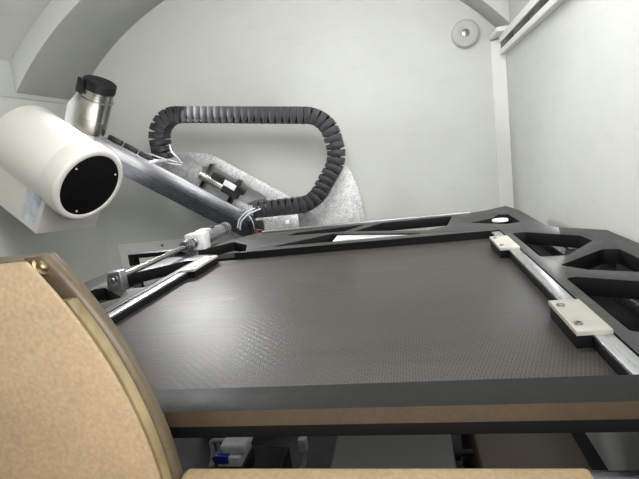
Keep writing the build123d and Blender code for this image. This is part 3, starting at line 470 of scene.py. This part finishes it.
def start_picking(piece, kind):
    pick(piece)
    bpy.ops.object.mode_set(mode="EDIT")
    bpy.ops.mesh.select_mode(type=kind)
    bpy.ops.mesh.select_all(action="DESELECT")
    bpy.ops.object.mode_set(mode="OBJECT")


def pick_faces(piece, chosen):
    start_picking(piece, "FACE")
    for face in piece.data.polygons:
        face.select = chosen(face.center, face.normal)
    bpy.ops.object.mode_set(mode="EDIT")


def sink(piece, chosen, margin, lip, depth):
    """Sunk panel inside the faces that the test picks."""
    pick_faces(piece, chosen)
    bpy.ops.mesh.inset(thickness=margin, depth=0.0)
    bpy.ops.mesh.inset(thickness=lip, depth=-depth)
    bpy.ops.object.mode_set(mode="OBJECT")


def split(piece, chosen, plane_point, plane_way):
    """New edge across the faces that the test picks."""
    pick_faces(piece, chosen)
    bpy.ops.mesh.bisect(plane_co=plane_point, plane_no=plane_way)
    bpy.ops.object.mode_set(mode="OBJECT")


def shift(piece, chosen, move):
    """Moves the points that the test picks."""
    start_picking(piece, "VERT")
    for vertex in piece.data.vertices:
        vertex.select = chosen(vertex.co)
    bpy.ops.object.mode_set(mode="EDIT")
    bpy.ops.transform.translate(value=move)
    bpy.ops.object.mode_set(mode="OBJECT")


def cut_away(piece, low, high):
    """Takes out what a rounder piece stands in for."""
    pick_faces(piece, lambda centre, way: all(a < c < b for a, c, b in zip(low, centre, high)))
    bpy.ops.mesh.delete(type="VERT")
    bpy.ops.object.mode_set(mode="OBJECT")


def milled(name, low, high, finish, body, place=None, edge=fine_edge, hollow=None):
    """Block between two corners of a place, with broken edges and, if given, a sunk top."""
    clear_selection()
    bpy.ops.mesh.primitive_cube_add(size=1)
    piece = bpy.context.object
    low, high = Vector(low), Vector(high)
    piece.matrix_world = Matrix.Translation((low + high) / 2) @ Matrix.Diagonal((*(high - low), 1))
    settle(piece)
    if hollow:
        sink(piece, lambda centre, way: way.z > 0.9, *hollow)
    if place:
        piece.matrix_world = place
    return finish_piece(piece, name, finish, body, edge)


def turned(name, rings, finish, body, place=None, around=64, ring=False, smooth=38.0):
    """Round piece along the place's own axis, drawn out ring by ring.

    Each ring is a radius and a height. A closed profile makes a piece with a bore.
    """
    clear_selection()
    radius, height = rings[0]
    bpy.ops.mesh.primitive_circle_add(vertices=around, radius=radius, location=(0, 0, height),
                                      fill_type="NOTHING" if ring else "NGON")
    piece = bpy.context.object
    settle(piece)
    bpy.ops.object.mode_set(mode="EDIT")
    bpy.ops.mesh.select_mode(type="VERT")
    bpy.ops.mesh.select_all(action="SELECT")
    for wide, high in rings[1:] + rings[:1] if ring else rings[1:]:
        bpy.ops.mesh.extrude_region_move(TRANSFORM_OT_translate={"value": (0, 0, high - height)})
        bpy.ops.transform.resize(value=(wide / radius, wide / radius, 1),
                                 center_override=(0, 0, high))
        radius, height = wide, high
    if not ring:
        bpy.ops.mesh.edge_face_add()
    bpy.ops.mesh.select_all(action="SELECT")
    bpy.ops.mesh.remove_doubles(threshold=fine_weld)
    bpy.ops.mesh.normals_make_consistent(inside=False)
    bpy.ops.object.mode_set(mode="OBJECT")
    if place:
        piece.matrix_world = place
    return finish_piece(piece, name, finish, body, smooth=smooth)


def lead(name, points, thick, finish, body):
    """Clipped lead of a harness, smooth through its bends."""
    curve = bpy.data.curves.new(name, "CURVE")
    curve.dimensions = "3D"
    spline = curve.splines.new("NURBS")
    spline.points.add(len(points) - 1)
    for point, spot in zip(spline.points, points):
        point.co = (*spot, 1)
    spline.order_u = 3
    spline.use_endpoint_u = True
    spline.resolution_u = 6
    curve.bevel_depth = thick / 2
    curve.bevel_resolution = 3
    curve.use_fill_caps = True
    piece = bpy.data.objects.new(name, curve)
    bpy.context.scene.collection.objects.link(piece)
    pick(piece)
    bpy.ops.object.convert(target="MESH")
    return finish_piece(bpy.context.object, name, finish, body, smooth=60.0)


# Sizes and colours that a user would change
class InspectionLook(bpy.types.PropertyGroup):
    wall_colour: FloatVectorProperty(
        name="Wall colour", description="Paint of the cabinet and chamber",
        size=3, subtype="COLOR", default=(0.84, 0.85, 0.83))
    door_colour: FloatVectorProperty(
        name="Door colour", description="Paint of the doors and the rear cover",
        size=3, subtype="COLOR", default=(0.66, 0.71, 0.74))
    detector_colour: FloatVectorProperty(
        name="Detector colour", description="Paint of the detector housing",
        size=3, subtype="COLOR", default=(0.965, 0.95, 0.925))
    sill_colour: FloatVectorProperty(
        name="Sill colour", description="Paint of the sill and the shield",
        size=3, subtype="COLOR", default=(0.675, 0.588, 0.468))
    frame_colour: FloatVectorProperty(
        name="Frame colour", description="Anodised colour of the stage frame",
        size=3, subtype="COLOR", default=(0.185, 0.183, 0.178))
    edge: FloatProperty(
        name="Edge", description="Broken edge of machined pieces",
        default=0.0012, unit="LENGTH", subtype="DISTANCE")


class Step:
    """What every operator here shares"""
    bl_options = {"REGISTER", "UNDO"}

    def execute(self, context):
        self.build(context.scene.inspection_look)
        return {"FINISHED"}


class Finishes(Step, bpy.types.Operator):
    """Paints, metals, plastics and glass of the machine"""
    bl_idname = "inspection.finishes"
    bl_label = "Finishes"

    def build(self, look):
        make_finishes(look)


class Shell(Step, bpy.types.Operator):
    """Cabinet panels, roof, floors and base"""
    bl_idname = "inspection.shell"
    bl_label = "Cabinet shell"

    def build(self, look):
        for node, finish, width in (
            ("rear_wall", "wall paint", 0.0), ("front_wall", "wall paint", 0.002),
            ("roof_shell", "vault paint", 0.003), ("rear_cover", "door paint", 0.002),
            # The floors take the near-black finish: painted shade under the stage
            ("base_frame", "base paint", 0.003), ("floors", "floor painted shade", 0.0),
            ("levelling_feet", "steel", 0.0015), ("lamps", "lamp segment", 0.0006),
            ("mains_inlet", "black plastic", 0.0006),
        ):
            soften(node, finish, width)
        walls = soften("side_walls", "wall paint", 0.003)
        outer_x = 0.72
        sink(walls, lambda centre, way: abs(way.x) > 0.99 and abs(centre.x) > outer_x,
             0.06, 0.003, 0.003)
        # The rib gets shallower to the right, step by step
        rib = soften("arch_rib", "vault paint", 0.002)
        rib_middle_y, taper = 0.72, (0, 0.026, 0)
        for start in (0.12, 0.19, 0.26, 0.33, 0.40, 0.47):
            shift(rib, lambda spot: spot.x > start and spot.y < rib_middle_y, taper)
        # The rib's downward faces take the darker copy of the wall paint: painted shade on the
        # soffit
        tint(rib, "soffit painted shade", lambda centre, way: way.z < -0.05 and abs(way.y) < 0.5)
        trim = soften("interior_trim", "trim paint", 0.0008)
        cut_away(trim, (0.50, 0.735, 1.40), (0.64, 0.775, 1.52))
        boss = ((0.0376, 0.0), (0.038, -0.001), (0.038, -0.018), (0.0362, -0.0225),
                (0.032, -0.024), (0.0125, -0.024), (0.0105, -0.0225), (0.0105, -0.017))
        piece = turned("wall_boss", boss, "boss paint", "cabinet",
                       Matrix.Translation((0.585, 0.770, 1.458)) @ along_y, smooth=50.0)
        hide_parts("interior_trim")
        milled("rib_foot", (0.652, 0.656, 1.4302), (0.6878, 0.7695, 1.4436),
               "trim paint", "cabinet", edge=0.003)


class Doors(Step, bpy.types.Operator):
    """Loading door, equipment doors, their guides and the operating panel"""
    bl_idname = "inspection.doors"
    bl_label = "Doors and panel"

    def build(self, look):
        for node, finish, width in (
            ("loading_door", "door paint", 0.002), ("door_window", "lead glass", 0.001),
            ("front_guides", "steel", 0.001), ("bay_door_left", "door paint", 0.002),
            ("bay_door_right", "door paint", 0.002), ("control_panel", "base paint", 0.0015),
            ("stop_button", "stop red", 0.003), ("key_switch", "steel", 0.0008),
        ):
            soften(node, finish, width)


class Sill(Step, bpy.types.Operator):
    """Loading sill and the round-edged shield beside it"""
    bl_idname = "inspection.sill"
    bl_label = "Sill and shield"

    def build(self, look):
        for node, finish, width in (
            ("loading_sill", "tan paint", 0.003), ("shield_skin", "tan paint", 0.0008),
            ("shield_core", "umber paint", 0.0008), ("shield_seal", "seal plastic", 0.001),
            ("shield_back_plate", "bronze plate", 0.0),
        ):
            soften(node, finish, width)
        screws = soften("fixed_screws", "trim paint", 0.0004)
        tint(screws, "steel", lambda centre, way: centre.x < 0.64 and centre.y > 0)
        tint(screws, "brass", lambda centre, way: centre.y < 0)
        head = ((0.004, -0.0080), (0.004, -0.0002), (0.0064, -0.0002), (0.0064, 0.0010),
                (0.0042, 0.0014), (0.0042, 0.0036), (0.0032, 0.0046))
        turned("shield_screw", head, "brass", "cabinet",
               placed((0.1545, -0.522, 1.1165), (0.789, 0, 0.614)), 24)


class Stage(Step, bpy.types.Operator):
    """Moving stage: bed, carriage, frame, tray and clamps, and the units below it"""
    bl_idname = "inspection.stage"
    bl_label = "Moving stage"

    def build(self, look):
        edge = look.edge
        for node, finish, width in (
            ("stage_bed", "ground rail", edge), ("cross_carriage", "black anodised and painted shade", edge),
            ("carriage_guides", "ground rail", edge), ("y_runners", "ground rail", edge),
            ("tray_plate", "tray weave", 0.0006), ("tray_side_rails", "black anodised and painted shade", 0.0006),
            ("bright_strips", "bright aluminium", 0.0005), ("clamp_bolts", "steel", 0.0005),
            ("lift_column", "ground rail", edge), ("ray_tube", "base paint", 0.002),
            ("supply_leads", "black rubber", 0.0),
        ):
            soften(node, finish, width)
        yoke = soften("nut_yoke", "black anodised and painted shade", edge)
        tint(yoke, "steel", lambda centre, way: centre.z > 1.001)
        clamps = soften("tray_clamps", "pale casting", 0.0006)
        tint(clamps, "black anodised and painted shade", lambda centre, way: centre.z < 0.9988)
        self.dress_frame(soften("stage_frame", "dark frame", edge))
        self.add_frame_pieces()
        units = soften("supply_units", "unit paint", 0.003)
        tint(units, "unit brown", lambda centre, way: centre.x > 0.43)
        tint(units, "black plastic", lambda centre, way: centre.x < 0.20)
        self.add_unit_pieces()

    def dress_frame(self, deck):
        bar_back, bar_face, reflection_foot = -0.4612, -0.49, 0.9885

        def on_front(centre, way):
            return way.y < -0.8 and centre.y < bar_face

        # Vertical faces of the deck take the near-black copy: painted shade in the truss windows
        # and along the bars
        tint(deck, "black anodised and painted shade", lambda centre, way: way.z < 0.5)
        split(deck, lambda centre, way: way.z > 0.9, (0, bar_back, 0), (0, 1, 0))
        # The front bar's top takes the darker copy of the frame colour: painted shade
        tint(deck, "bar top painted shade", lambda centre, way: way.z > 0.5 and centre.y < bar_back)
        # Above this line the bar's front face takes a painted bronze reflection; below it the
        # near-black copy stays as painted shade
        split(deck, on_front, (0, 0, reflection_foot), (0, 0, 1))
        tint(deck, "painted bronze reflection",
             lambda centre, way: on_front(centre, way) and centre.z > reflection_foot)

    def add_frame_pieces(self):
        button = ((0.015, 1.0001), (0.015, 1.0028), (0.0138, 1.0040), (0.0105, 1.0040),
                  (0.0098, 1.0032))
        turned("frame_button", button, "white plastic", "stage",
               Matrix.Translation((0.553, 0.188, 0)), 32)
        plate = milled("window_plate", (0.232, 0.1271, 0.9900), (0.400, 0.2060, 0.9980),
                       "white plastic", "stage", edge=0.001)
        shift(plate, lambda spot: spot.x > 0.39 and spot.y > 0.20, (-0.162, 0, 0))
        # Thin near-black sheets flush with the strips' inner edges: painted shade for the dark band
        # under the bright strips
        tray_x, reach, half = 0.264, 0.2603, 0.0037
        for name, middle in (("rail_shade_sheet_left", tray_x - reach),
                             ("rail_shade_sheet_right", tray_x + reach)):
            milled(name, (middle - half, -0.459, 0.9872), (middle + half, 0.089, 0.9958),
                   "black anodised and painted shade", "stage")

    def add_unit_pieces(self):
        for name, low, high, finish, edge in (
            ("unit_plug", (0.118, -0.262, 0.7922), (0.150, -0.218, 0.806),
             "white plastic", 0.002),
            ("unit_plug_upper", (0.122, -0.258, 0.8062), (0.156, -0.222, 0.8195),
             "white plastic", 0.004),
            ("unit_plug_band", (0.117, -0.2635, 0.7975), (0.134, -0.216, 0.8085),
             "blue sleeve", 0.001),
            ("unit_tab", (0.222, -0.246, 0.8005), (0.233, -0.234, 0.819),
             "grey lead", 0.002),
        ):
            milled(name, low, high, finish, "cabinet", edge=edge)
        plug_leads = [((x, -0.240, 0.790), (x + 0.003, -0.238, 0.800), (x - 0.002, -0.236, 0.812),
                       (x + 0.012, -0.236, 0.8145), (0.124, -0.238, 0.812)) for x in (0.101, 0.111)]
        tab_lead = ((0.184, -0.240, 0.772), (0.206, -0.240, 0.770), (0.2275, -0.240, 0.774),
                    (0.2275, -0.240, 0.804))
        for name, points, thick in (("unit_lead_1", plug_leads[0], 0.0055),
                                    ("unit_lead_2", plug_leads[1], 0.0055),
                                    ("unit_tab_lead", tab_lead, 0.006)):
            lead(name, points, thick, "grey lead", "cabinet")


class Drive(Step, bpy.types.Operator):
    """Screw drive on the stage: bearing blocks, rod, gearhead and motor"""
    bl_idname = "inspection.drive"
    bl_label = "Stage drive"

    def build(self, look):
        blocks = soften("screw_bearing_block", "white plastic", look.edge)
        tint(blocks, "bright aluminium", lambda centre, way: centre.y < 0)
        screw = ((0.0035, -0.136), (0.0048, -0.1345), (0.0048, 0.206))
        rod = turned("drive_rod", screw, "polished steel", "screw", drive_place, 32)
        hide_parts("drive_screw")
        nut = ((0.0050, 0.159), (0.009, 0.159), (0.010, 0.160), (0.010, 0.1655),
               (0.0092, 0.167), (0.0050, 0.167))
        ring = turned("rod_ring", nut, "steel", "screw", drive_place, 32, True)
        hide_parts("drive_screw")
        gearhead = ((0.0075, 0.2002), (0.0152, 0.2002), (0.016, 0.201), (0.016, 0.2425),
                    (0.0155, 0.2435), (0.0148, 0.244), (0.0148, 0.3155), (0.0125, 0.316),
                    (0.0125, 0.320), (0.0148, 0.3205), (0.0148, 0.3275), (0.0125, 0.328),
                    (0.0125, 0.332), (0.0148, 0.3325), (0.0148, 0.353), (0.0135, 0.3555),
                    (0.0075, 0.356))
        motor = turned("drive_barrel", gearhead, "bright aluminium", "stage",
                       drive_place, 48, True)
        groove_start, groove_end, groove_radius = 0.3155, 0.3325, 0.0145
        tint(motor, "black plastic", lambda centre, way: groove_start < centre.y < groove_end
             and math.hypot(centre.x - screw_axis.x, centre.z - screw_axis.z) < groove_radius)
        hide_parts("drive_motor")
        box = milled("terminal_box", (-0.080, 0.204, 1.018), (-0.056, 0.240, 1.036),
                     "clear sleeve", "stage", edge=0.0012,
                     hollow=(0.002, 0.0008, 0.0012))
        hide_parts("drive_motor")
        gland = ((0.006, 1.0325), (0.006, 1.0352), (0.0058, 1.0352))
        piece = turned("motor_gland", gland, "black plastic", "stage",
                       Matrix.Translation((screw_axis.x, 0.268, 0)), 24)
        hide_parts("drive_motor")


class Arm(Step, bpy.types.Operator):
    """Swing arm, fan plate, actuator, energy chain and leads"""
    bl_idname = "inspection.arm"
    bl_label = "Arm and chain"

    def build(self, look):
        edge = look.edge
        for node, finish, width in (
            ("swing_bearing", "steel", edge), ("swing_hub", "bright aluminium", edge),
            ("fan_plate", "speckled plate", 0.001), ("arm_connectors", "black plastic", 0.002),
            ("energy_chain", "chain plastic", 0.0007), ("chain_cables", "black rubber", 0.0),
            ("chain_brackets", "speckled plate", edge), ("arm_screws", "trim paint", 0.0005),
        ):
            soften(node, finish, width)
        channel = soften("swing_arm", "channel aluminium", edge)
        inward = arm_place.inverted()
        tint(channel, "channel shade",
             lambda centre, way: (inward @ centre).y < -0.0005 and way.y < -0.3)
        self.finish_actuator(soften("arm_actuator", "black plastic", 0.0012))
        for number, (thick, points) in enumerate(arm_leads):
            lead(f"arm_lead_{number + 1}", points, thick, "clear sleeve", "arm")
        milled("hub_plug", (-0.084, 0.568, 0.986), (-0.068, 0.586, 1.006),
               "black plastic", "arm", edge=0.002)
        for number, low in enumerate((0.966, 0.974)):
            points = ((-0.072, 0.578, low), (-0.062, 0.570, low + 0.004),
                      (-0.052, 0.572, low - 0.004), (-0.044, 0.580, low))
            lead(f"copper_lead_{number + 1}", points, 0.0045, "copper", "arm")
        milled("lead_clip", (-0.386, 0.548, 1.214), (-0.376, 0.566, 1.228),
               "white plastic", "arm", edge=0.002)

    def finish_actuator(self, actuator):
        inward = actuator_place.inverted()
        cylinder_end, cylinder_radius = 0.0825, 0.0155
        tint(actuator, "polished steel", lambda centre, way: (inward @ centre).z < cylinder_end
             and (inward @ centre).xy.length < cylinder_radius)
        milled("actuator_plate", (-0.0165, 0.0105, 0.081), (-0.0145, 0.0285, 0.122),
               "white plastic", "arm", actuator_place, 0.0005)
        for number, (start, end) in enumerate(((0.036, 0.0780), (0.0785, 0.1495))):
            milled(f"actuator_block_{number + 1}", (-0.0144, 0.0100, start),
                   (0.0100, 0.0290, end), "black plastic", "arm",
                   actuator_place, 0.0015)


class Detector(Step, bpy.types.Operator):
    """Detector head, its window and the camera beside it"""
    bl_idname = "inspection.detector"
    bl_label = "Detector and camera"

    def build(self, look):
        soften("detector_housing", "cream paint", 0.0015)
        soften("image_tube", "window black", 0.0004)
        # The fin behind the camera slopes down towards the housing
        carrier = soften("detector_carrier", "trim paint", look.edge)
        inward, raised = detector_place.inverted(), detector_place.to_3x3() @ Vector((0, 1, 0))
        fin_top, fin_middle = 0.185, 0.12
        shift(carrier, lambda spot: (inward @ spot).y > fin_top
              and (inward @ spot).x > fin_middle, raised * -0.026)
        shift(carrier, lambda spot: (inward @ spot).y > fin_top
              and (inward @ spot).x < fin_middle, raised * -0.087)
        milled("camera_clip", (0.096, 0.148, -0.232), (0.1035, 0.187, -0.208),
               "black plastic", "arm", detector_place, 0.0015)
        bolt = ((0.0048, 0.162), (0.0048, 0.169), (0.0040, 0.170), (0.0028, 0.170),
                (0.0028, 0.177), (0.0022, 0.178))
        turned("carrier_bolt", bolt, "brass", "arm", bolt_place, 24)
        rim = ((0.0818, -0.0495), (0.0818, -0.0012), (0.0832, -0.0002), (0.0905, -0.0002),
               (0.0950, -0.0016), (0.0974, -0.0050), (0.0979, -0.0095), (0.0979, -0.0495),
               (0.0974, -0.0508), (0.0826, -0.0508))
        piece = turned("detector_rim", rim, "cream paint", "arm",
                       detector_place, 96, True, smooth=50.0)
        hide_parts("detector_ring")
        barrel = ((0.038, 0.0462), (0.0400, 0.0470), (0.0408, 0.0485), (0.0408, 0.0860),
                  (0.0401, 0.0866), (0.0401, 0.0884), (0.0408, 0.0890), (0.0408, 0.1372),
                  (0.0430, 0.1384), (0.0438, 0.1392), (0.0438, 0.1410), (0.0428, 0.1420),
                  (0.0398, 0.1424), (0.0398, 0.1490), (0.0392, 0.1494), (0.0392, 0.1504),
                  (0.0398, 0.1508), (0.0398, 0.1574), (0.0392, 0.1578), (0.0392, 0.1588),
                  (0.0398, 0.1592), (0.0398, 0.1640))
        piece = turned("camera_body", barrel, "polished steel", "arm",
                       camera_place, 72)
        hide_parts("camera_barrel")
        cap = ((0.0415, 0.1642), (0.0428, 0.1650), (0.0428, 0.1858), (0.0418, 0.1884),
               (0.0390, 0.1899), (0.0365, 0.1899), (0.0355, 0.1888))
        piece = turned("camera_lid", cap, "black plastic", "arm",
                       camera_place, 72)
        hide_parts("camera_cap")
        label = milled("detector_plate", (-0.0668, -0.1530, -0.1220), (-0.0658, -0.0560, -0.0600),
                       "trim paint", "arm", box_place, 0.0)
        outward = box_place.to_3x3() @ Vector((-1, 0, 0))
        sink(label, lambda centre, way: way.dot(outward) > 0.9, 0.0035, 0.0004, 0.0002)
        field = box_place @ Vector((-0.0666, -0.1045, -0.091))
        tint(label, "label field", lambda centre, way: (centre - field).length < 0.012)


def lamp(name, place, target, size, power, colour):
    light = bpy.data.lights.new(name, "AREA")
    light.shape = "RECTANGLE"
    light.size, light.size_y = size
    light.energy = power
    light.color = colour
    holder = bpy.data.objects.new(name, light)
    bpy.context.scene.collection.objects.link(holder)
    holder.location = place
    aim = Vector(target) - Vector(place)
    holder.rotation_euler = aim.to_track_quat("-Z", "Y").to_euler()
    holder.visible_camera = False


class Studio(Step, bpy.types.Operator):
    """Floor, lamps, world and camera"""
    bl_idname = "inspection.studio"
    bl_label = "Studio"

    def build(self, look):
        clear_selection()
        bpy.ops.mesh.primitive_plane_add(size=30, location=(0, 0, 0))
        floor = bpy.context.object
        floor.name = "studio_floor"
        start_finish("floor", (0.86, 0.86, 0.85), 0.9)
        dress(floor, "floor")
        scene = bpy.context.scene
        world = bpy.data.worlds.new("studio")
        world.use_nodes = True
        sky = world.node_tree.nodes["Background"]
        sky.inputs["Color"].default_value = (0.86, 0.87, 0.88, 1)
        sky.inputs["Strength"].default_value = 0.75
        scene.world = world
        scene.view_settings.view_transform = "Standard"
        warm, white = (1.0, 0.99, 0.97), (1.0, 1.0, 1.0)
        for name, place, target, size, power, colour in (
            ("chamber lamp", (0.32, -0.18, 1.66), (0.02, 0.45, 1.10), (0.5, 0.5), 8.2, warm),
            ("vault lamp", (0.10, 0.30, 1.70), (0.15, 0.30, 1.0), (0.6, 0.3), 0.5, warm),
            ("door fill", (0.42, -0.72, 1.20), (-0.2, 0.4, 1.08), (0.4, 0.10), 1.7, white),
            ("bay fill", (0.33, -0.22, 0.94), (0.33, -0.20, 0.56), (0.5, 0.3), 0.16, white),
            ("side fill", (0.62, 0.05, 1.12), (-0.4, 0.30, 1.12), (0.35, 0.25), 0.8, white),
            ("chamber strip", (-0.30, 0.50, 1.385), (0.20, -0.10, 0.99), (0.16, 0.10), 3.4, white),
            ("key", (-3.5, -4.5, 4.5), (0, 0, 0.9), (3, 3), 205, white),
            ("back", (4.0, 4.0, 4.0), (0, 0, 0.9), (3, 3), 145, white),
        ):
            lamp(name, place, target, size, power, colour)
        self.stand_camera(scene)

    def stand_camera(self, scene):
        """The place and the lens that the photograph was fitted with."""
        data = bpy.data.cameras.new("viewer")
        data.sensor_width = 36.0
        data.lens = 27.63
        data.clip_start = 0.01
        camera = bpy.data.objects.new("viewer", data)
        right = Vector((0.97830516, 0.16871069, -0.1202319))
        down = Vector((-0.08809911, -0.18646971, -0.97850273))
        ahead = Vector((-0.18750348, 0.9678666, -0.16756102))
        turn = Matrix((right, -down, -ahead)).transposed().to_4x4()
        camera.matrix_world = Matrix.Translation((0.387, -0.790, 1.165)) @ turn
        scene.collection.objects.link(camera)
        scene.camera = camera


class InspectionPanel(bpy.types.Panel):
    """Pieces of the inspection machine"""
    bl_idname = "VIEW3D_PT_inspection"
    bl_label = "Inspection machine"
    bl_space_type = "VIEW_3D"
    bl_region_type = "UI"
    bl_category = "Inspection"

    def draw(self, context):
        look = context.scene.inspection_look
        for name in InspectionLook.__annotations__:
            self.layout.prop(look, name)
        for maker in makers:
            self.layout.operator(maker.bl_idname)


makers = (Finishes, Studio, Shell, Doors, Sill, Stage, Drive, Arm, Detector)
classes = (InspectionLook, *makers, InspectionPanel)


def register():
    for item in classes:
        bpy.utils.register_class(item)
    bpy.types.Scene.inspection_look = PointerProperty(type=InspectionLook)


def unregister():
    del bpy.types.Scene.inspection_look
    for item in reversed(classes):
        bpy.utils.unregister_class(item)


def main():
    register()
    for maker in makers:
        area, action = maker.bl_idname.split(".")
        getattr(getattr(bpy.ops, area), action)()


if __name__ == "__main__":
    main()
